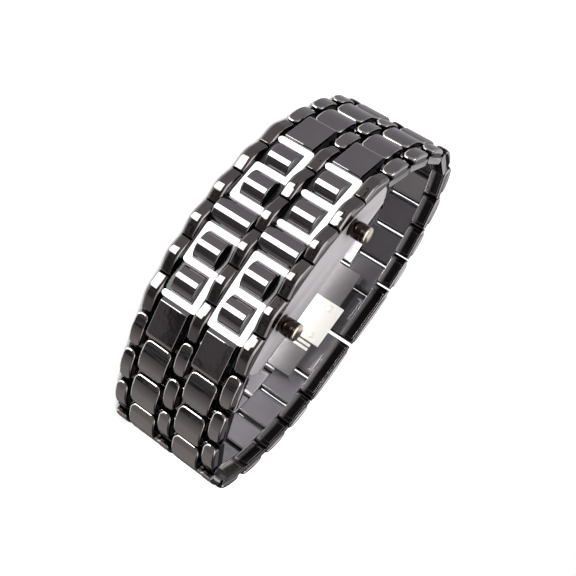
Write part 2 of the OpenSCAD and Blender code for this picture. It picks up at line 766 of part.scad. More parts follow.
// Pusher: a head in the case wall, and a stem through the bracket that a clip holds
module pusher(m) {
    color("#2a1d18") placed() translate([m * pusher_x, pusher_depth, 0]) difference() {
        union() {
            translate([0, 0, wall_z]) cylinder(r = pusher_r, h = wall + pusher_out - 0.3);
            translate([0, 0, side_z + pusher_out - 0.3])
                cylinder(r1 = pusher_r, r2 = pusher_r - 0.3, h = 0.3);
            translate([0, 0, bracket_z - 0.6]) cylinder(r = stem_r, h = wall_z - bracket_z + 0.7);
        }
        translate([0, 0, side_z - 0.65]) groove(pusher_r - 0.35, 0.5);
        translate([0, 0, bracket_z - clip_t]) groove(stem_r - 0.12, clip_t);
    }
}

module groove(r, h) {
    difference() {
        cylinder(r = 3, h = h);
        translate([0, 0, -1]) cylinder(r = r, h = h + 2);
    }
}

module pusher_seal(m) {
    color(black) placed() translate([m * pusher_x, pusher_depth, side_z - 0.4])
        rotate_extrude() translate([pusher_r - 0.16, 0]) circle(r = 0.19);
}

module pusher_clip(m) {
    color(satin) placed() translate([m * pusher_x, pusher_depth, bracket_z - clip_t]) difference() {
        cylinder(r = clip_r, h = clip_t);
        translate([0, 0, -1]) cylinder(r = stem_r - 0.12, h = 3);
        translate([-0.2, 0, -1]) cube([0.4, 3, 3]);
    }
}

// Half width of the wire at t degrees from the middle of its section
wire_turn = 180 * 2 * spring_wire / ((wall_z - seat_z) / spring_turns);
function wire_w(t) = spring_wire * sqrt(max(0, 1 - pow(t / wire_turn, 2)));
function polar(r, t) = [r * cos(t), r * sin(t)];

// Return spring, a helix round the stem between the bracket and the head
module pusher_spring(m) {
    outer = [for (k = [-5:2:5]) k / 5 * wire_turn];
    inner = [for (k = [3:-2:-3]) k / 5 * wire_turn];
    color(satin) placed() translate([m * pusher_x, pusher_depth, seat_z])
        linear_extrude(height = wall_z - seat_z, twist = 360 * spring_turns, slices = 10 * spring_turns,
                       $fn = 10)
            polygon(concat([for (a = outer) polar(spring_r + wire_w(a), a)],
                           [for (a = inner) polar(spring_r - wire_w(a), a)]));
}

case_body();
display_frame();
segment_bars();
window();
segments(true);  // segments_lit
segments(false);  // segments_dark
reflector_block();
circuit_board();
led_chips();
control_chip();
button_cells();
cell_tray();
back_gasket();
case_back();
back_screws();
pusher(-1);  // pusher_upper
pusher_seal(-1);  // pusher_upper_seal
pusher_clip(-1);  // pusher_upper_clip
pusher_spring(-1);  // pusher_upper_spring
pusher(1);  // pusher_lower
pusher_seal(1);  // pusher_lower_seal
pusher_clip(1);  // pusher_lower_clip
pusher_spring(1);  // pusher_lower_spring
for (i = link_ids) link(i, true);
for (i = link_ids) link(i, false);
clasp_cover(true);  // cover_12
clasp_cover(false);  // cover_6
clasp_arm(true);  // arm_12
clasp_arm(false);  // arm_6
clasp_base();
catch_plate();
catch_rivets();
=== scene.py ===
import json
import math

import bmesh
import bpy
from mathutils import Matrix, Vector


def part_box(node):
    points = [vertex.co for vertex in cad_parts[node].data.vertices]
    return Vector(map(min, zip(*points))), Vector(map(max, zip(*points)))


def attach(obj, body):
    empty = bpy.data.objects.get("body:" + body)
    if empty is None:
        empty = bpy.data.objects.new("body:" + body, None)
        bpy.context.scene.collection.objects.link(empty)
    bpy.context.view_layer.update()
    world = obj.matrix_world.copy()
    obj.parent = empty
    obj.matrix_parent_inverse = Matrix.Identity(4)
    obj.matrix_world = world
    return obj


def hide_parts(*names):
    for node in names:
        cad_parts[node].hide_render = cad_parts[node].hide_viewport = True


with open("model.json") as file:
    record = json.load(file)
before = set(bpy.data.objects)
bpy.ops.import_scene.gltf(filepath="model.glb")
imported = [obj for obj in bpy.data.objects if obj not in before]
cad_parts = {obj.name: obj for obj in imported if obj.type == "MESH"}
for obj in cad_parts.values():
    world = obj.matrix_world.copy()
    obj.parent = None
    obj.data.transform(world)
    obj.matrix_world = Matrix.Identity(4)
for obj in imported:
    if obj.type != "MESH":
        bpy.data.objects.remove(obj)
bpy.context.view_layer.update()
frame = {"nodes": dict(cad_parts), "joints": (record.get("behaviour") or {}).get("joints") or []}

# Camera
# The watch lies on its 9 o'clock edge. The camera stands in front of the face, a little to the
# 6 o'clock side and above the pusher edge.
camera = bpy.data.objects.new("camera", bpy.data.cameras.new("camera"))
camera.location = (0.036128, -0.183763, 0.084159)
camera.rotation_euler = [math.radians(angle) for angle in (-54.9576, -52.0822, 161.8201)]
camera.data.lens = 64.4
camera.data.sensor_width = 36
camera.data.clip_start = 0.01
bpy.context.scene.collection.objects.link(camera)
bpy.context.scene.camera = camera
bpy.context.scene.view_settings.view_transform = "Standard"


def linear(hex_colour):
    """Linear RGBA of an sRGB hex colour."""
    parts = [int(hex_colour[i:i + 2], 16) / 255 for i in (1, 3, 5)]
    return [c / 12.92 if c <= 0.04045 else ((c + 0.055) / 1.055) ** 2.4 for c in parts] + [1.0]


def add(tree, kind, inputs=None, **settings):
    """Adds a node with its settings, its values and the sockets that feed it."""
    made = tree.nodes.new("ShaderNode" + kind)
    for name, value in settings.items():
        setattr(made, name, value)
    for name, value in (inputs or {}).items():
        if isinstance(value, bpy.types.NodeSocket):
            tree.links.new(value, made.inputs[name])
        else:
            made.inputs[name].default_value = value
    return made


# White tent round the table
# The camera looks past the watch at plain white. Polished steel mirrors the tent: grey walls, a
# bright panel low in front with a dark strip over it, a half-lit wall behind, and a white roof.
world = bpy.data.worlds.new("white tent")
bpy.context.scene.world = world
world.use_nodes = True
sky = world.node_tree
sky.nodes.clear()
toward = add(sky, "SeparateXYZ", {0: add(sky, "TexCoord").outputs["Generated"]}).outputs
height = toward["Z"]
depth = toward["Y"]
front = add(sky, "Math", {0: depth, 1: -1.0}, operation="MULTIPLY").outputs[0]
angle = add(sky, "Math", {0: toward["X"], 1: front}, operation="ARCTAN2").outputs[0]
turn = add(sky, "MapRange", {"Value": angle, "From Min": -math.pi, "From Max": math.pi}).outputs[0]

# Greys of the walls by the share of a turn: 0 and 1 behind, 0.25 on the left, 0.5 in front
greys = ((0.0, "#7a787b"), (0.06, "#8a898c"), (0.12, "#d2d0d4"), (0.3, "#dedbdf"),
         (0.44, "#ece6e6"), (0.545, "#787476"), (0.6, "#8f8b8c"), (0.68, "#a29d9e"),
         (0.78, "#f4efe8"), (0.86, "#dcd5cf"), (0.93, "#7e7a7a"), (1.0, "#7a787b"))
walls = add(sky, "ValToRGB", {"Fac": turn})
while len(walls.color_ramp.elements) < len(greys):
    walls.color_ramp.elements.new(0.5)
for stop, (place, grey) in zip(walls.color_ramp.elements, greys):
    stop.position = place
    stop.color = linear(grey)


def zone(*limits):
    """1 where each value lies between its low and high limit, and 0 elsewhere, with a soft edge."""
    share = 1.0
    for value, low, high, edge in limits:
        for dark, lit in ((low - edge, low + edge), (high + edge, high - edge)):
            step = add(sky, "MapRange", {"Value": value, "From Min": dark, "From Max": lit},
                       interpolation_type="SMOOTHSTEP").outputs[0]
            share = add(sky, "Math", {0: share, 1: step}, operation="MULTIPLY").outputs[0]
    return share


cloud = add(sky, "TexNoise", {"Scale": 26.0, "Detail": 0.0}).outputs["Fac"]
patches = add(sky, "MapRange", {"Value": cloud, "From Min": 0.49, "From Max": 0.497, "To Max": 0.85},
              interpolation_type="SMOOTHSTEP").outputs[0]
right = zone((turn, 0.6, 0.67, 0.006))
patches = add(sky, "Math", {0: patches, 1: right}, operation="MULTIPLY").outputs[0]
behind_left = zone((turn, 0.034, 0.3, 0.006))
behind = add(sky, "MixRGB", {"Fac": behind_left, "Color1": (0.1, 0.095, 0.1, 1),
                             "Color2": (1.25, 1.22, 1.22, 1)}).outputs[0]
# What lies over the walls, each over the ones before it: its place and its light
tent_parts = (
    # Dark patches on the right wall
    (patches, (0.02, 0.018, 0.02, 1)),
    # Dark strip over the front panel
    (zone((turn, 0.42, 0.56, 0.01), (height, -0.32, -0.275, 0.004)), (0.16, 0.155, 0.16, 1)),
    # Floor
    (zone((height, -1.2, -0.56, 0.04)), (1.9, 1.88, 1.84, 1)),
    # Wall behind, bright on the left and dark on the right
    (zone((height, 0.05, 0.62, 0.06), (depth, 0.0, 1.2, 0.15)), behind),
    # Roof
    (zone((height, 0.72, 1.2, 0.05)), (2.6, 2.56, 2.5, 1)),
    # Front panel
    (zone((turn, 0.45, 0.544, 0.003), (height, -1.2, -0.325, 0.01)), (14.0, 13.9, 13.5, 1)),
)
tent = walls.outputs["Color"]
for share, light in tent_parts:
    tent = add(sky, "MixRGB", {"Fac": share, "Color1": tent, "Color2": light}).outputs[0]
ray = add(sky, "LightPath").outputs
mirrored = add(sky, "MixRGB", {"Fac": ray["Is Glossy Ray"], "Color1": (0.95, 0.95, 0.95, 1),
                               "Color2": tent}).outputs[0]
through = add(sky, "Math", {0: ray["Is Camera Ray"], 1: ray["Is Transmission Ray"]},
              operation="MAXIMUM").outputs[0]
seen = add(sky, "MixRGB", {"Fac": through, "Color1": mirrored, "Color2": (1, 1, 1, 1)}).outputs[0]
backdrop = add(sky, "Background", {"Color": seen, "Strength": 1.0}).outputs[0]
add(sky, "OutputWorld", {"Surface": backdrop})

# Softbox
# A round cloth softbox hangs over the table and shines down at the watch. It gives the table its
# light and the watch its soft shadow.
above = Vector((-0.1, -0.15, 0.6))
softbox = bpy.data.objects.new("softbox", bpy.data.lights.new("softbox", "AREA"))
softbox.data.shape = "DISK"
softbox.data.size = 0.5
softbox.data.energy = 2.2
softbox.location = above
softbox.rotation_euler = above.to_track_quat("Z", "Y").to_euler()
bpy.context.scene.collection.objects.link(softbox)

# Table
# A sheet of matt white card lies flat, a hair under the watch. Polished steel mirrors the tent's
# floor in its place.
MM = 0.001
table_half = 3.0
table = bmesh.new()
bmesh.ops.create_grid(table, x_segments=1, y_segments=1, size=table_half)
table_mesh = bpy.data.meshes.new("table")
table.to_mesh(table_mesh)
table.free()
table_top = bpy.data.objects.new("table", table_mesh)
table_top.location.z = -0.02 * MM
bpy.context.scene.collection.objects.link(table_top)

# Card: evenly white with no gloss. The fibres, drawn coarser than real ones, hardly show. It
# shines a little for the camera alone, so that only the shadow keeps it from plain white.
card = bpy.data.materials.new("matt white card")
card.use_nodes = True
tree = card.node_tree
tree.nodes.clear()
place = add(tree, "TexCoord").outputs["Object"]
fibre = add(tree, "TexNoise", {"Vector": place, "Scale": 0.3 / MM}).outputs["Fac"]
tooth = add(tree, "Bump", {"Height": fibre, "Strength": 0.02, "Distance": 0.2 * MM}).outputs[0]
matt = add(tree, "BsdfDiffuse", {"Color": linear("#f7f7f7"), "Normal": tooth}).outputs[0]
glow = add(tree, "Emission", {"Color": (1, 1, 1, 1), "Strength": 0.3}).outputs[0]
glowing = add(tree, "AddShader", {0: matt, 1: glow}).outputs[0]
camera_ray = add(tree, "LightPath").outputs["Is Camera Ray"]
lit = add(tree, "MixShader", {"Fac": camera_ray, 1: matt, 2: glowing}).outputs[0]
add(tree, "OutputMaterial", {"Surface": lit})
table_mesh.materials.append(card)
table_top.visible_glossy = False

# Case
# The case is a milled steel shell with a fine satin finish. Between its side walls the lugs have
# the black plating of the band, and a lighter mirror on every rounded edge paints a highlight line.


def steel(name, dark, light, rough, wave_mm, grain_mm, grain=0.02, stretch=(1, 1, 1),
          metallic=1.0, highlight_band=None):
    """A metal whose plating drifts between two colours, with a swell and a grain from its polish.

    Rough is the least and the most roughness. A real grain is finer than a render can show, so
    grain_mm is as coarse as it needs to be. Stretch under 1 draws the grain out along an axis.
    The last argument is a lighter colour, a painted highlight, and the heights in mm between which
    it fades into the plating."""
    made = bpy.data.materials.new(name)
    made.use_nodes = True
    tree = made.node_tree
    tree.nodes.clear()
    place = add(tree, "TexCoord").outputs["Object"]
    wave = add(tree, "TexNoise", {"Vector": place, "Scale": 1 / (wave_mm * MM), "Detail": 2.0})
    colour = add(tree, "MixRGB", {"Fac": wave.outputs["Fac"], "Color1": linear(dark),
                                  "Color2": linear(light)}).outputs[0]
    # A lighter colour painted in as a highlight, fading into the plating between two heights
    if highlight_band:
        lighter, low, high = highlight_band
        level = add(tree, "SeparateXYZ", {0: place}).outputs["Z"]
        fade = add(tree, "MapRange", {"Value": level, "From Min": low * MM, "From Max": high * MM})
        colour = add(tree, "MixRGB", {"Fac": fade.outputs[0], "Color1": linear(lighter),
                                      "Color2": colour}).outputs[0]
    lines = add(tree, "Mapping", {"Vector": place, "Scale": stretch}).outputs[0]
    fine = add(tree, "TexNoise", {"Vector": lines, "Scale": 1 / (grain_mm * MM),
                                  "Detail": 3.0}).outputs["Fac"]
    haze = add(tree, "MapRange", {"Value": fine, "To Min": rough[0], "To Max": rough[1]}).outputs[0]
    swells_per_mm = 0.7
    swell = add(tree, "TexNoise", {"Vector": place, "Scale": swells_per_mm / MM,
                                   "Detail": 1.0}).outputs["Fac"]
    bump = add(tree, "Bump", {"Height": swell, "Strength": 1.0, "Distance": 0.008 * MM}).outputs[0]
    bump = add(tree, "Bump", {"Height": fine, "Strength": grain, "Distance": 0.05 * MM,
                              "Normal": bump}).outputs[0]
    metal = add(tree, "BsdfPrincipled", {"Base Color": colour, "Metallic": metallic,
                                         "Roughness": haze, "Normal": bump}).outputs[0]
    add(tree, "OutputMaterial", {"Surface": metal})
    return made


def put(name, shape, body, materials, replaced=(), mirror=False):
    """Makes an object of a bmesh in millimetres, shaded smooth, that rides on a body."""
    bmesh.ops.scale(shape, vec=(MM, MM, MM), verts=shape.verts)
    if mirror:
        bmesh.ops.scale(shape, vec=(-1, 1, 1), verts=shape.verts)
        bmesh.ops.reverse_faces(shape, faces=shape.faces)
    for face in shape.faces:
        face.smooth = True
    mesh = bpy.data.meshes.new(name)
    shape.to_mesh(mesh)
    shape.free()
    for material in materials:
        mesh.materials.append(material)
    made = bpy.data.objects.new(name, mesh)
    bpy.context.scene.collection.objects.link(made)
    made.modifiers.new("weighted normals", "WEIGHTED_NORMAL").keep_sharp = True
    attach(made, body)
    if replaced:
        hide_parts(*replaced)
    return made


# Columns across the band and the case: three narrow and two wide, with grooves between them
band_w = 24.0
narrow_w = 2.7
wide_w = 6.1
groove_w = (band_w - 3 * narrow_w - 2 * wide_w) / 4
narrow_z = [column * (band_w - narrow_w) / 2 for column in range(3)]
wide_z = [z + narrow_w + groove_w for z in narrow_z[:2]]
# Arc of the face, whose half is three links long, and the window's depth under its crest
pitch = 7.6
half_face = 3 * pitch
face_r = 47.0
rail_d = 1.3
# How far the crest of the face lies in front of the middle of the bracelet
mid_y = rail_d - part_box("window")[0].y / MM
# An end piece runs from end_back before the end of the face to its tip, past the first pin
end_back = 4.35
reach = 1.725
tip = pitch / 4 + reach


def on_arc(s, radius, depth=0.0):
    """Frame at a length s along an arc of the face, with X along it and Y inwards."""
    angle = s / radius
    spot = (radius * math.sin(angle), depth + radius * (1 - math.cos(angle)) - mid_y, 0)
    return Matrix.Translation(spot) @ Matrix.Rotation(angle, 4, "Z")


# Black plating over mirror-polished steel: a dark mirror
black_steel = steel("mirror-polished steel, black plated", "#666365", "#726f71", (0.04, 0.09),
                    wave_mm=6.0, grain_mm=0.5)
# Fine satin, rubbed along the case: pale grey, blurring what it mirrors into streaks
satin_steel = steel("satin steel, rubbed lengthwise", "#9b979a", "#a39fa2", (0.42, 0.52),
                    wave_mm=5.0, grain_mm=0.25, grain=0.12, stretch=(0.05, 1, 1), metallic=0.3)
# Walls of the grooves: black plating, dull and painted very dark as the shade that falls between the
# columns
groove_shade_steel = steel("black plated steel, painted dark as shade", "#121112", "#1b191a", (0.25, 0.4),
                     wave_mm=2.0, grain_mm=0.2, grain=0.08)
# Rims: a lighter mirror, a painted highlight that draws a clear light line round each dark piece
rim_highlight_steel = steel("mirror-polished steel, lighter as painted highlight", "#9a9490", "#a8a29e", (0.05, 0.1),
                  wave_mm=5.0, grain_mm=0.4)

shell = bmesh.new()
shell.from_mesh(frame["nodes"]["case_body"].data)
bmesh.ops.scale(shell, vec=(1 / MM, 1 / MM, 1 / MM), verts=shell.verts)
bmesh.ops.remove_doubles(shell, verts=shell.verts, dist=0.0005)
bmesh.ops.dissolve_limit(shell, angle_limit=math.radians(0.4), verts=shell.verts, edges=shell.edges)
# The shell's own end pieces shrink and sink a little, under the polished ones of the next section
seat = on_arc(half_face, face_r)
end_shrink = 0.96
end_sink = 0.2
end_root = 0.9
for vert in shell.verts:
    side = math.copysign(1, vert.co.x)
    spot = seat.inverted() @ Vector((abs(vert.co.x), vert.co.y, vert.co.z))
    along = -end_back - 0.15 < spot.x < tip + 0.075
    across = any(z - 0.1 < spot.z < z + wide_w + 0.1 for z in wide_z)
    if along and across and spot.y < end_root:
        spot = seat @ Vector((end_shrink * spot.x, spot.y + end_sink, spot.z))
        vert.co = (side * spot.x, spot.y, spot.z)
shell_materials = [satin_steel, black_steel, groove_shade_steel, rim_highlight_steel]
side_t = 1.0
lug_x = 17.6
for face in shell.faces:
    spot = face.calc_center_median()
    finish = satin_steel
    if abs(spot.x) > lug_x and side_t <= spot.z <= band_w - side_t:
        # Faces between the columns are painted dark as shade
        between_columns = face.normal.y > -0.2 and abs(face.normal.z) > 0.6
        finish = groove_shade_steel if between_columns else black_steel
    face.material_index = shell_materials.index(finish)
case_shell = put("case_shell", shell, "case", shell_materials, ["case_body"])
edges = case_shell.modifiers.new("edges", "BEVEL")
edges.width = 0.12 * MM
edges.segments = 3
edges.angle_limit = math.radians(25)
# Every rounded edge gets the lighter mirror, painted as a highlight line
edges.material = shell_materials.index(rim_highlight_steel)

# End pieces
# The two wide end pieces at each end of the case are ground flat and mirror polished, with a
# chamfer towards the display and a small one towards the first link.


def bevel(shape, edges, offset, segments):
    """Rounds edges and returns the new faces."""
    made = bmesh.ops.bevel(shape, geom=edges, offset=offset, offset_type="OFFSET", affect="EDGES",
                           segments=segments, profile=0.5, material=-1, clamp_overlap=True)
    return made["faces"]


def join(shape, other):
    """Adds one bmesh to another and frees it."""
    mesh = bpy.data.meshes.new("joined")
    other.to_mesh(mesh)
    other.free()
    shape.from_mesh(mesh)
    bpy.data.meshes.remove(mesh)


# Height over the face, and what the chamfer takes off towards the display at each end
end_h = 0.76
chamfers = {12: 0.25, 6: 0.8}
for hour in (12, 6):
    ends = bmesh.new()
    chamfer = chamfers[hour]
    profile = ((0.05 - end_back, 0.95),
               (0.05 - end_back, 0.8 * chamfer + 0.01 - end_h),
               (chamfer - end_back, -end_h),
               (tip - 0.6, -end_h),
               (tip + 0.01, 0.31 - end_h),
               (tip + 0.01, 0.95))
    for z in wide_z:
        piece = bmesh.new()
        outline = piece.faces.new([piece.verts.new((x, y, z - 0.02)) for x, y in profile])
        raised = bmesh.ops.extrude_face_region(piece, geom=[outline])["geom"]
        lifted = [part for part in raised if isinstance(part, bmesh.types.BMVert)]
        bmesh.ops.translate(piece, vec=(0, 0, wide_w + 0.04), verts=lifted)
        bmesh.ops.recalc_face_normals(piece, faces=piece.faces)
        top = []
        for edge in piece.edges:
            upper, lower = sorted(vert.co.y for vert in edge.verts)
            if upper < 0.1 and lower < 0.9:
                top.append(edge)
        bevel(piece, top, 0.1 if hour == 12 else 0.16, 4)
        piece.normal_update()
        for face in piece.faces:
            face.material_index = 1 if abs(face.normal.z) > 0.9 else 0
        bmesh.ops.transform(piece, matrix=seat, verts=piece.verts)
        join(ends, piece)
    # The sides towards the grooves are the second material, painted dark as shade
    put(f"end_pieces_{hour}", ends, "case", [black_steel, groove_shade_steel], mirror=hour == 12)

# Inside of the case
# Under the window lie a moulded light guide, a fibreglass board with its chips, two button cells
# in a tray, a rubber gasket, and the screwed back. Each keeps its shape and gets its material.


def moulded(name, dark, light, rough, speck_mm):
    """A moulded or coated surface: two close colours in specks, and a faint pebbled skin.

    The specks are coarser than real ones, which a render would lose."""
    made = bpy.data.materials.new(name)
    made.use_nodes = True
    tree = made.node_tree
    tree.nodes.clear()
    place = add(tree, "TexCoord").outputs["Object"]
    speck = add(tree, "TexNoise", {"Vector": place, "Scale": 1 / (speck_mm * MM),
                                   "Detail": 4.0}).outputs["Fac"]
    colour = add(tree, "MixRGB", {"Fac": speck, "Color1": linear(dark),
                                  "Color2": linear(light)}).outputs[0]
    bump = add(tree, "Bump", {"Height": speck, "Strength": 0.05, "Distance": 0.1 * MM}).outputs[0]
    skin = add(tree, "BsdfPrincipled", {"Base Color": colour, "Roughness": rough, "Normal": bump})
    add(tree, "OutputMaterial", {"Surface": skin.outputs[0]})
    return made


def dress(node, material):
    """Gives a node that stays as it is its material."""
    for holder in frame["nodes"][node].material_slots:
        holder.material = material


# Window: nearly black, cast and polished, with a clean gloss
dress("window", moulded("smoked acrylic", "#050506", "#08080a", 0.06, 3.0))
# Diffuser of the strokes that are off: as dark, with a dull skin
dress("segments_dark", moulded("smoked diffuser acrylic", "#0a0a0c", "#101013", 0.25, 0.5))
# Light guide: matt warm white
dress("reflector_block", moulded("white ABS, moulded", "#e6e5e0", "#f0efeb", 0.5, 0.4))
# Board: half-gloss green
dress("circuit_board", moulded("green solder mask on fibreglass", "#124227", "#1b5733", 0.35, 0.3))
# Light chips: the yellow of the resin over them
dress("led_chips", moulded("phosphor resin", "#e7dca0", "#f3ecc4", 0.3, 0.2))
# Control chip: matt black, finely speckled
dress("control_chip", moulded("black epoxy, moulded", "#131315", "#1c1c1f", 0.55, 0.15))
# Tray: dull black, a little grey where it catches light
dress("cell_tray", moulded("black nylon, moulded", "#1c1c1f", "#29292d", 0.6, 0.3))
# Gasket: the dullest black
rubber = moulded("black nitrile rubber", "#0d0d0e", "#161617", 0.7, 0.3)
dress("back_gasket", rubber)
# Cells: pale, slightly warm nickel with a soft shine
dress("button_cells", steel("nickel-plated cell can", "#b9b6b0", "#c8c5bf", (0.2, 0.3),
                            wave_mm=4.0, grain_mm=0.3, grain=0.05))
# Back: brighter than the case, its streaks across the band
dress("case_back", steel("satin steel back, rubbed across", "#b4b1b6", "#c2bfc3", (0.3, 0.42),
                         wave_mm=5.0, grain_mm=0.25, grain=0.1, stretch=(1, 1, 0.05)))
# Screws: grey and clean from the lathe
dress("back_screws", steel("steel screw heads, turned", "#a7a4a8", "#bab7ba", (0.15, 0.25),
                           wave_mm=1.0, grain_mm=0.2, grain=0.05))

# Rails
# Three polished rails of six scallops each run over the face, and two full-width half-round bars
# tie them together. They are cast in one piece and look like one more stretch of the bracelet.


def block(shape, low, high):
    """Adds a plain block between two corners."""
    made = bmesh.ops.create_cube(shape, size=1)["verts"]
    bmesh.ops.scale(shape, vec=[h - l for l, h in zip(low, high)], verts=made)
    bmesh.ops.translate(shape, vec=[(h + l) / 2 for l, h in zip(low, high)], verts=made)


def rod(shape, radius, low, high, segments, x=0.0, y=0.0):
    """Adds a plain round rod along Z, between two heights."""
    bmesh.ops.create_cone(shape, cap_ends=True, segments=segments, radius1=radius, radius2=radius,
                          depth=high - low, matrix=Matrix.Translation((x, y, (low + high) / 2)))


def cut(shape, place, normal, clear=False):
    """Cuts a shape through by a plane, and takes away what lies in front of it where asked."""
    bmesh.ops.bisect_plane(shape, geom=shape.verts[:] + shape.edges[:] + shape.faces[:],
                           plane_co=place, plane_no=normal, clear_outer=clear)


# A scallop: radius and height of its crown, and how steeply its sides fall to the notches
scallops = 6
scallop_slices = 24
crown_r = 4.5
crown_h = 1.1
side_slope = math.radians(20.4)
rail_round = 0.7


def crest(x):
    """Depth of a scallop x from its middle: round at the crown, straight down to the notches."""
    bend = crown_r * math.sin(side_slope)
    if x < bend:
        return -crown_h + (crown_r - math.sqrt(crown_r ** 2 - x * x))
    return -crown_h + (crown_r * (1 - math.cos(side_slope)) + (x - bend) * math.tan(side_slope))


# The same black plated mirror as the bars, painted darker as shade, so that the rails stand out from
# the bars
rail_shade_steel = steel("mirror-polished rail steel, painted darker as shade", "#524f4f", "#5d5959", (0.03, 0.07),
                   wave_mm=6.0, grain_mm=0.5)
rail_materials = [black_steel, groove_shade_steel, rail_shade_steel]
display = bmesh.new()
for z in narrow_z:
    for number in range(scallops):
        scallop = bmesh.new()
        half = pitch / 2 - 0.04
        block(scallop, (-half, 0.0, z), (half, rail_d, z + narrow_w))
        for step in range(1, scallop_slices):
            cut(scallop, (-pitch / 2 + pitch * step / scallop_slices, 0, 0), (1, 0, 0))
        for vert in scallop.verts:
            if vert.co.y < 0.1:
                vert.co.y = crest(abs(vert.co.x))
        rim = []
        for edge in scallop.edges:
            one, two = [vert.co for vert in edge.verts]
            raised = one.y < 0.3 and two.y < 0.3 and len(edge.link_faces) == 2
            if raised and abs(one.z - two.z) < 0.01:
                fold = edge.link_faces[0].normal.dot(edge.link_faces[1].normal)
                if abs(fold) < 0.5:
                    rim.append(edge)
        bevel(scallop, rim, rail_round, 6)
        scallop.normal_update()
        for face in scallop.faces:
            # Rail tops: the mirror painted darker as shade
            finish = rail_shade_steel
            # Sides inside the band are painted dark as shade; the two outer sides stay black mirror
            if abs(face.normal.z) >= 0.93:
                level = face.calc_center_median().z
                finish = groove_shade_steel if 0.1 <= level <= band_w - 0.1 else black_steel
            face.material_index = rail_materials.index(finish)
        along = (number - (scallops - 1) / 2) * pitch
        bmesh.ops.transform(scallop, matrix=on_arc(along, face_r), verts=scallop.verts)
        join(display, scallop)

# Arc of the window, which is flatter than the face and lies under it
window_r = 70.0
window_d = 1.0
# Half-round bars on the window: their steps along it, their length and their height
bar_pitch = 7.1
bar_len = 5.7
bar_h = 1.8
bar_round = 0.25


def bar(s, middle_z, width):
    """Half-round bar lying across a column, its ends softened and their end faces painted dark as
    shade.
    """
    made = bmesh.new()
    radius = ((bar_len / 2) ** 2 + bar_h ** 2) / (2 * bar_h)
    rod(made, radius, -width / 2, width / 2, segments=96)
    bmesh.ops.translate(made, vec=(0, radius - bar_h, 0), verts=made.verts)
    cut(made, (0, 0.05, 0), (0, 1, 0), clear=True)
    bmesh.ops.holes_fill(made, edges=[edge for edge in made.edges if edge.is_boundary])
    for z in (0.4 - width / 2, width / 2 - 0.4):
        cut(made, (0, 0, z), (0, 0, 1))
    rim = []
    for edge in made.edges:
        at_end = all(abs(abs(vert.co.z) - width / 2) < 0.01 for vert in edge.verts)
        if at_end and min(vert.co.y for vert in edge.verts) < 0.02:
            rim.append(edge)
    bevel(made, rim, bar_round, 4)
    made.normal_update()
    for face in made.faces:
        # The end faces are painted dark as shade
        face.material_index = 1 if abs(face.normal.z) > 0.95 else 0
    bmesh.ops.translate(made, vec=(0, 0, middle_z), verts=made.verts)
    bmesh.ops.transform(made, matrix=on_arc(s, window_r, window_d), verts=made.verts)
    return made


rail_gap = wide_w + 2 * groove_w
digit_z = [z + narrow_w + rail_gap / 2 for z in narrow_z[:2]]
for middle in digit_z:
    join(display, bar(0, middle, rail_gap + 0.1))
put("display_rails", display, "case", rail_materials, ["display_frame"])

# Small bars
# Eight half-round bars, polished black like the full-width ones, are glued on the window between
# the light strokes of the four digits.
stroke_w = 1.2
small_w = rail_gap - 2 * (stroke_w + 0.24)
small_bars = bmesh.new()
for row in (-2, -1, 1, 2):
    for middle in digit_z:
        join(small_bars, bar(row * bar_pitch, middle, small_w))
put("small_bars", small_bars, "case", [black_steel, groove_shade_steel], ["segment_bars"])

# Light strokes
# Milky acrylic lenses over the light chips, let into the window, show as solid white lines. The
# digits read 23 over 56, seen with 12 o'clock up.
lit_lens = bpy.data.materials.new("milky acrylic, lit from behind")
lit_lens.use_nodes = True
tree = lit_lens.node_tree
tree.nodes.clear()
# Plain white that shines by itself, with a hint of pale clouds
place = add(tree, "TexCoord").outputs["Object"]
cloud = add(tree, "TexNoise", {"Vector": place, "Scale": 0.6 / MM}).outputs["Fac"]
tint = add(tree, "MixRGB", {"Fac": cloud, "Color1": (0.97, 0.98, 1.0, 1),
                            "Color2": (1, 1, 1, 1)}).outputs[0]
lens = add(tree, "BsdfPrincipled", {"Base Color": tint, "Roughness": 0.3, "Emission Color": tint,
                                    "Emission Strength": 1.0}).outputs[0]
add(tree, "OutputMaterial", {"Surface": lens})

# The seven strokes of a digit: how many bars each lies from its middle, and on which side
stroke_rows = {"a": -1, "b": -0.5, "c": 0.5, "d": 1, "e": 0.5, "f": -0.5, "g": 0}
stroke_sides = {"a": 0, "b": 1, "c": 1, "d": 0, "e": -1, "f": -1, "g": 0}
digits = ((-1.5, digit_z[0], "abged"), (-1.5, digit_z[1], "abgcd"),
          (1.5, digit_z[0], "afgcd"), (1.5, digit_z[1], "afgecd"))
strokes = bmesh.new()
for row, middle, lit_strokes in digits:
    for letter in lit_strokes:
        side = stroke_sides[letter] * (rail_gap / 2 - 0.12 - stroke_w / 2)
        size = (bar_pitch + stroke_w * 0.2, stroke_w) if side else (stroke_w, rail_gap - 0.2)
        stroke = bmesh.new()
        block(stroke, (-size[0] / 2, -0.12, -size[1] / 2), (size[0] / 2, 0.9, size[1] / 2))
        corners = [edge for edge in stroke.edges
                   if abs(edge.verts[0].co.y - edge.verts[1].co.y) > 0.5]
        bevel(stroke, corners, stroke_w / 2 - 0.02, 8)
        bmesh.ops.translate(stroke, vec=(0, 0, middle + side), verts=stroke.verts)
        place = on_arc((row + stroke_rows[letter]) * bar_pitch, window_r, window_d)
        bmesh.ops.transform(stroke, matrix=place, verts=stroke.verts)
        join(strokes, stroke)
put("light_strokes", strokes, "case", [lit_lens], ["segments_lit"])

# Pushers
# Two turned steel pushers with a brown-black plating stand out of the case side, each with two
# fine grooves for the fingertip and a bright, bare end face. Behind are a seal, clip and spring.
# Heights: end of the stem in the case, inside and outside of the case wall, and end face
stem_z = 19.3
wall_z = 22.6
side_z = 23.9
end_z = side_z + 3.5
stem_r = 0.4
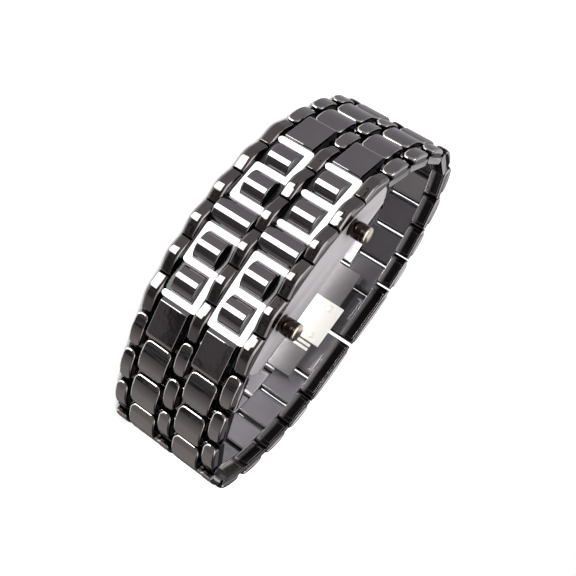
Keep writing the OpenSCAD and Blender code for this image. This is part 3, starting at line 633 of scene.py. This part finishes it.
# Half profile from the case wall to the end face, as radius and height
pusher_profile = ((0, wall_z), (1.7, wall_z), (1.7, side_z + 0.1), (1.54, side_z + 0.3),
                  (1.54, side_z + 0.5), (1.7, side_z + 0.7), (1.7, end_z - 1.35),
                  (1.6, end_z - 1.28), (1.6, end_z - 1.12), (1.7, end_z - 1.05),
                  (1.7, end_z - 0.7), (1.6, end_z - 0.63), (1.6, end_z - 0.5),
                  (1.7, end_z - 0.43), (1.7, end_z - 0.28), (1.6, end_z - 0.08),
                  (1.46, end_z), (0, end_z))
# Plated side: nearly black and glossy, with fine turning lines round it
pusher_steel = steel("turned steel, brown-black plated", "#2f2824", "#3e3530", (0.02, 0.05),
                     wave_mm=1.5, grain_mm=0.3, grain=0.03, stretch=(1, 1, 0.1))
# End face: light, slightly warm steel with a soft shine. It runs onto the chamfer round the end,
# where its light tone is a painted highlight ring
bare_steel = steel("turned steel, bare", "#a79f95", "#b8b0a6", (0.12, 0.22),
                   wave_mm=1.5, grain_mm=0.3, grain=0.04)
# Clip and spring: pale grey wire with a soft shine
spring_wire = steel("drawn spring steel", "#b0adaa", "#c4c1bd", (0.2, 0.3),
                    wave_mm=1.0, grain_mm=0.2, grain=0.05)
for name, body in (("pusher_upper", "upper_pusher"), ("pusher_lower", "lower_pusher")):
    turned = bmesh.new()
    chain = [turned.verts.new((radius, 0, z)) for radius, z in pusher_profile]
    for one, two in zip(chain, chain[1:]):
        turned.edges.new((one, two))
    bmesh.ops.spin(turned, geom=turned.verts[:] + turned.edges[:], cent=(0, 0, 0),
                   axis=(0, 0, 1), angle=2 * math.pi, steps=64, use_merge=True)
    bmesh.ops.remove_doubles(turned, verts=turned.verts, dist=0.0005)
    bmesh.ops.recalc_face_normals(turned, faces=turned.faces)
    for face in turned.faces:
        # The end face is bare steel; the chamfer round it gets the same light steel as a painted
        # highlight ring
        face.material_index = 1 if face.calc_center_median().z > end_z - 0.25 else 0
    rod(turned, stem_r, stem_z, wall_z, segments=24)
    low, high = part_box(name)
    middle = (low + high) / 2 / MM
    bmesh.ops.translate(turned, vec=(middle.x, middle.y, 0), verts=turned.verts)
    put(name + "_turned", turned, body, [pusher_steel, bare_steel], [name])
    dress(name + "_seal", rubber)
    dress(name + "_clip", spring_wire)
    dress(name + "_spring", spring_wire)

# Links
# Each link is one casting: three narrow knuckles and two wide ones, half a pitch on, joined by a
# sunk web. Every knuckle is crowned and polished, and a steel pin runs through the narrow ones.
# Depths under the outside: top and bottom of a foot, and the pins
foot_top = 1.1
foot_bottom = 2.6
pin_depth = 1.2
pin_r = 0.5
# Feet widen by this into the grooves, and leave a gap of 0.12
flange = (groove_w - 0.12) / 2
# A pillow keeps back from the ends of its foot, its rim is rounded, and its top rises to a crown
pillow_back = 0.15
pillow_round = 0.36
link_crown = 0.7
cover_crown = 0.5
# Wide knuckles begin, and narrow ones end, this far along a link
wide_start = pitch / 4 + 0.175
narrow_end = pitch * 0.75 - 0.175
# Inside of the 6 o'clock half: plated steel left as tumbled, so its mirror is hazy, and painted
# lighter as light
tumbled_lit_steel = steel("tumbled steel, painted lighter as the lit copy", "#98949a", "#a5a2a7", (0.18, 0.28),
                      wave_mm=4.0, grain_mm=0.4, grain=0.05, metallic=0.65)
# Inside of the 12 o'clock half: the same steel, painted a little darker as shade, and clearer
tumbled_shade_steel = steel("tumbled steel, painted darker as the shaded copy", "#6f6c71", "#7c797e", (0.14, 0.22),
                   wave_mm=4.0, grain_mm=0.4, grain=0.05, metallic=0.8)
# Inside of the column at the pusher edge: a mirror painted nearly black as shade, with a near-white
# painted highlight that grows towards the middle of the band
edge_steel = steel("mirror-polished steel, painted shade and highlight", "#171516", "#221f20",
                   (0.06, 0.12), wave_mm=5.0, grain_mm=0.4, metallic=0.8,
                   highlight_band=("#f2eeec", 20.8, 22.1))
# The inside of each half is the same steel, lighter at 6 o'clock as painted light and darker at 12
# o'clock as painted shade
band_materials = {12: [black_steel, tumbled_shade_steel, groove_shade_steel, edge_steel, rim_highlight_steel],
                  6: [black_steel, tumbled_lit_steel, groove_shade_steel, edge_steel, rim_highlight_steel]}
POLISHED, INSIDE, GROOVE_SHADE, EDGE, RIM_HIGHLIGHT = range(5)


def pillow(start, end, z, width, crown):
    """Crowned upper part of a knuckle, its rim rounded, with a painted highlight on the rim on two
    sides.
    """
    made = bmesh.new()
    block(made, (start + pillow_back, 0, z), (end - pillow_back, foot_top + 0.1, z + width))
    corner = min(1.2, width / 2 - 0.2)
    upright = [edge for edge in made.edges if abs(edge.verts[0].co.y - edge.verts[1].co.y) > 1]
    bevel(made, upright, corner, 6)
    first = start + pillow_back + corner
    straight = end - start - 2 * pillow_back - 2 * corner
    slices = 10
    for step in range(slices + 1):
        cut(made, (first + straight * step / slices, 0, 0), (1, 0, 0))
    bmesh.ops.remove_doubles(made, verts=made.verts, dist=0.05)
    middle = (start + end) / 2
    half = (end - start) / 2
    for vert in made.verts:
        if vert.co.y < 0.01:
            vert.co.y = 0.1 - (crown + 0.06) * (1 - ((vert.co.x - middle) / half) ** 2)
    made.normal_update()
    rim = []
    for edge in made.edges:
        leans = sorted(face.normal.y for face in edge.link_faces)
        if len(leans) == 2 and leans[0] < -0.7 and leans[1] > -0.3:
            rim.append(edge)
    rounded = set(bevel(made, rim, pillow_round, 5))
    made.normal_update()
    for face in made.faces:
        lean = face.normal
        upward = face in rounded and -0.98 < lean.y < -0.42
        # Rims on two sides get the lighter mirror, a painted highlight
        if upward and (lean.z < -0.1 or lean.x < -0.3):
            face.material_index = RIM_HIGHLIGHT
        # Sides in the grooves are painted dark as shade
        elif lean.y > -0.3 and 0.1 < face.calc_center_median().z < band_w - 0.1:
            face.material_index = GROOVE_SHADE
        else:
            face.material_index = POLISHED
    return made


def foot(start, end, z, width, root_first):
    """Lower part of a knuckle, round at its pin and recessed on the inside of the band."""
    made = bmesh.new()
    left = 0 if z < 0.1 else flange
    right = 0 if z + width > band_w - 0.1 else flange
    block(made, (start, foot_top, z - left), (end, foot_bottom, z + width + right))
    root, heel = (start, end) if root_first else (end, start)
    for tail, size, steps in ((root, 1.2, 8), (heel, 0.45, 4)):
        low_end = []
        for edge in made.edges:
            if all(vert.co.y > foot_bottom - 0.01 and abs(vert.co.x - tail) < 0.01
                   for vert in edge.verts):
                low_end.append(edge)
        bevel(made, low_end, size, steps)
    near_edge = z > band_w - narrow_w - 0.1
    long_edges = []
    for edge in made.edges:
        one, two = [vert.co for vert in edge.verts]
        lengthwise = len(edge.link_faces) == 2 and abs(one.z - two.z) < 0.01
        if lengthwise and edge.calc_face_angle(0) > 1 and min(one.y, two.y) > foot_top + 0.1:
            long_edges.append(edge)
    bevel(made, long_edges, 0.2 if near_edge else 0.1, 3)
    made.normal_update()
    inner = max(made.faces, key=lambda face: face.calc_area() if face.normal.y > 0.99 else 0)
    for thickness, depth in ((0.3, 0), (0.1, -0.08)):
        bmesh.ops.inset_region(made, faces=[inner], thickness=thickness, depth=depth,
                               use_even_offset=True)
    made.normal_update()
    for face in made.faces:
        lean = face.normal
        # Rims of the pusher-edge column get the lighter mirror, a painted highlight
        if near_edge and 0.3 < lean.y < 0.95 and abs(lean.z) > 0.3:
            face.material_index = RIM_HIGHLIGHT
        # Inner faces: at the pusher-edge column the steel painted nearly black as shade with its
        # painted highlight, elsewhere the inside steel of the half
        elif lean.y > (0.9 if near_edge else 0.5):
            face.material_index = EDGE if near_edge else INSIDE
        # Sides in the grooves are painted dark as shade
        elif lean.y < 0.3 and 0.1 < face.calc_center_median().z < band_w - 0.1:
            face.material_index = GROOVE_SHADE
        else:
            face.material_index = POLISHED
    return made


def knuckle(shape, start, end, z, width, crown, root_first=True):
    """Adds one raised knuckle, from start to end along the band."""
    join(shape, pillow(start, end, z, width, crown))
    join(shape, foot(start, end, z, width, root_first))


def web(shape, start, end, bottom):
    """Adds the sunk web that joins the knuckles of a piece."""
    made = bmesh.new()
    block(made, (start, 1.0, 0.4), (end, bottom, band_w - 0.4))
    bevel(made, made.edges[:], 0.12, 2)
    join(shape, made)


def pin(shape):
    """Adds a pin through the narrow knuckles, a little short of both sides, its ends broken."""
    made = bmesh.new()
    rod(made, pin_r, 0.3, band_w - 0.3, segments=32, y=pin_depth)
    ends = [edge for edge in made.edges if abs(edge.verts[0].co.z - edge.verts[1].co.z) < 0.01]
    bevel(made, ends, 0.1, 2)
    join(shape, made)


# Pins of the 6 o'clock half, from the case to the cover. The bracelet is open at the first, so its
# place is that of the first pin at the 12 o'clock end, mirrored.
joints = {joint["name"]: Vector(joint["pos_m"]) / MM for joint in frame["joints"]
          if "pos_m" in joint}
pins = [joints["pin_12_1"] * Vector((-1, 1, 1))]
pins += [joints[f"pin_6_{number}"] for number in range(2, 9)]
pins.append(joints["pin_6_cover"])


def at_pin(number):
    """Frame of a link of the 6 o'clock half: its first pin at x = 0, Y towards the wrist."""
    here = pins[number - 1]
    heading = math.pi
    if number < len(pins):
        heading = math.atan2(pins[number].y - here.y, pins[number].x - here.x)
    return (Matrix.Translation((here.x, here.y, 0)) @ Matrix.Rotation(heading, 4, "Z")
            @ Matrix.Translation((0, -pin_depth, 0)))


for number in range(1, len(pins)):
    for hour in (12, 6):
        link = bmesh.new()
        for z in narrow_z:
            knuckle(link, -reach, narrow_end, z, narrow_w, link_crown)
        for z in wide_z:
            knuckle(link, wide_start, pitch + reach, z, wide_w, link_crown, root_first=False)
        web(link, wide_start, narrow_end, 2.25)
        if number > 1 or hour == 12:
            pin(link)
        bmesh.ops.transform(link, matrix=at_pin(number), verts=link.verts)
        name = f"link_{hour}_{number}"
        put(name + "_polished", link, name, band_materials[hour], [name], mirror=hour == 12)

# Covers
# Two long castings end the bracelet and meet over the clasp with a small gap, with the same five
# columns as the links. Two ears and a cross pin under each carry an arm of the clasp.
cover_end = 12.3
cover_bottom = 2.3
ear_x = 10.6
ear_y = 3.55
ear_r = 0.85
ear_w = 1.4
# Gap between the ears, and the cross pin, which ends inside them
ear_gap = 9.24
cross_pin_r = 0.4
cross_pin_len = 11.8
for hour in (12, 6):
    cover = bmesh.new()
    for z in narrow_z:
        knuckle(cover, -reach, cover_end, z, narrow_w, cover_crown)
    for z in wide_z:
        knuckle(cover, wide_start, cover_end, z, wide_w, cover_crown)
    web(cover, wide_start, cover_end - 0.3, cover_bottom)
    pin(cover)
    for z in (band_w / 2 - ear_gap / 2 - ear_w, band_w / 2 + ear_gap / 2):
        ear = bmesh.new()
        rod(ear, ear_r, z, z + ear_w, segments=40, x=ear_x, y=ear_y)
        block(ear, (ear_x - ear_r, cover_bottom, z), (ear_x + ear_r, ear_y, z + ear_w))
        join(cover, ear)
    rod(cover, cross_pin_r, (band_w - cross_pin_len) / 2, (band_w + cross_pin_len) / 2,
        segments=24, x=ear_x, y=ear_y)
    bmesh.ops.transform(cover, matrix=at_pin(len(pins)), verts=cover.verts)
    name = f"cover_{hour}"
    put(name + "_polished", cover, name, band_materials[hour], [name], mirror=hour == 12)

# Clasp
# Two arms of rolled strip fold onto a base strip, which carries a bright snap plate held by four
# rivets. Two spring leaves beside the plate are pressed up from the base strip.

# Arms: dark, with a dull shine and long fine brush lines
strip_steel = steel("rolled steel strip, brushed", "#545155", "#625f63", (0.2, 0.3),
                    wave_mm=5.0, grain_mm=0.3, grain=0.08, stretch=(0.08, 1, 1), metallic=0.9)
# Base: the same lines on a lighter, less mirroring grey
base_steel = steel("rolled steel strip, bright", "#6c696b", "#7f7b7d", (0.2, 0.3),
                   wave_mm=5.0, grain_mm=0.3, grain=0.08, stretch=(0.08, 1, 1), metallic=0.6)
# Plate, rivets and leaves: polished steel painted nearly white as a reflection of bright light, with
# a soft shine
plate_reflection_steel = steel("polished steel, painted white as a reflection", "#fbf8f2", "#fffdf8", (0.3, 0.4),
                    wave_mm=6.0, grain_mm=0.5, grain=0.03, metallic=0.15)
dress("arm_12", strip_steel)
dress("arm_6", strip_steel)
dress("clasp_base", base_steel)
dress("catch_rivets", plate_reflection_steel)
dress("catch_plate", plate_reflection_steel)

leaf_w = 0.64
leaf_h = 0.35
base_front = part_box("clasp_base")[0].y / MM
leaves = bmesh.new()
for x in (5.5, 6.5):
    leaf = bmesh.new()
    block(leaf, (x - leaf_w / 2, base_front - leaf_h, 8.5), (x + leaf_w / 2, base_front + 0.1, 18.0))
    proud = [edge for edge in leaf.edges if min(vert.co.y for vert in edge.verts) < base_front]
    bevel(leaf, proud, 0.15, 3)
    join(leaves, leaf)
put("spring_leaves", leaves, "clasp_base", [plate_reflection_steel])
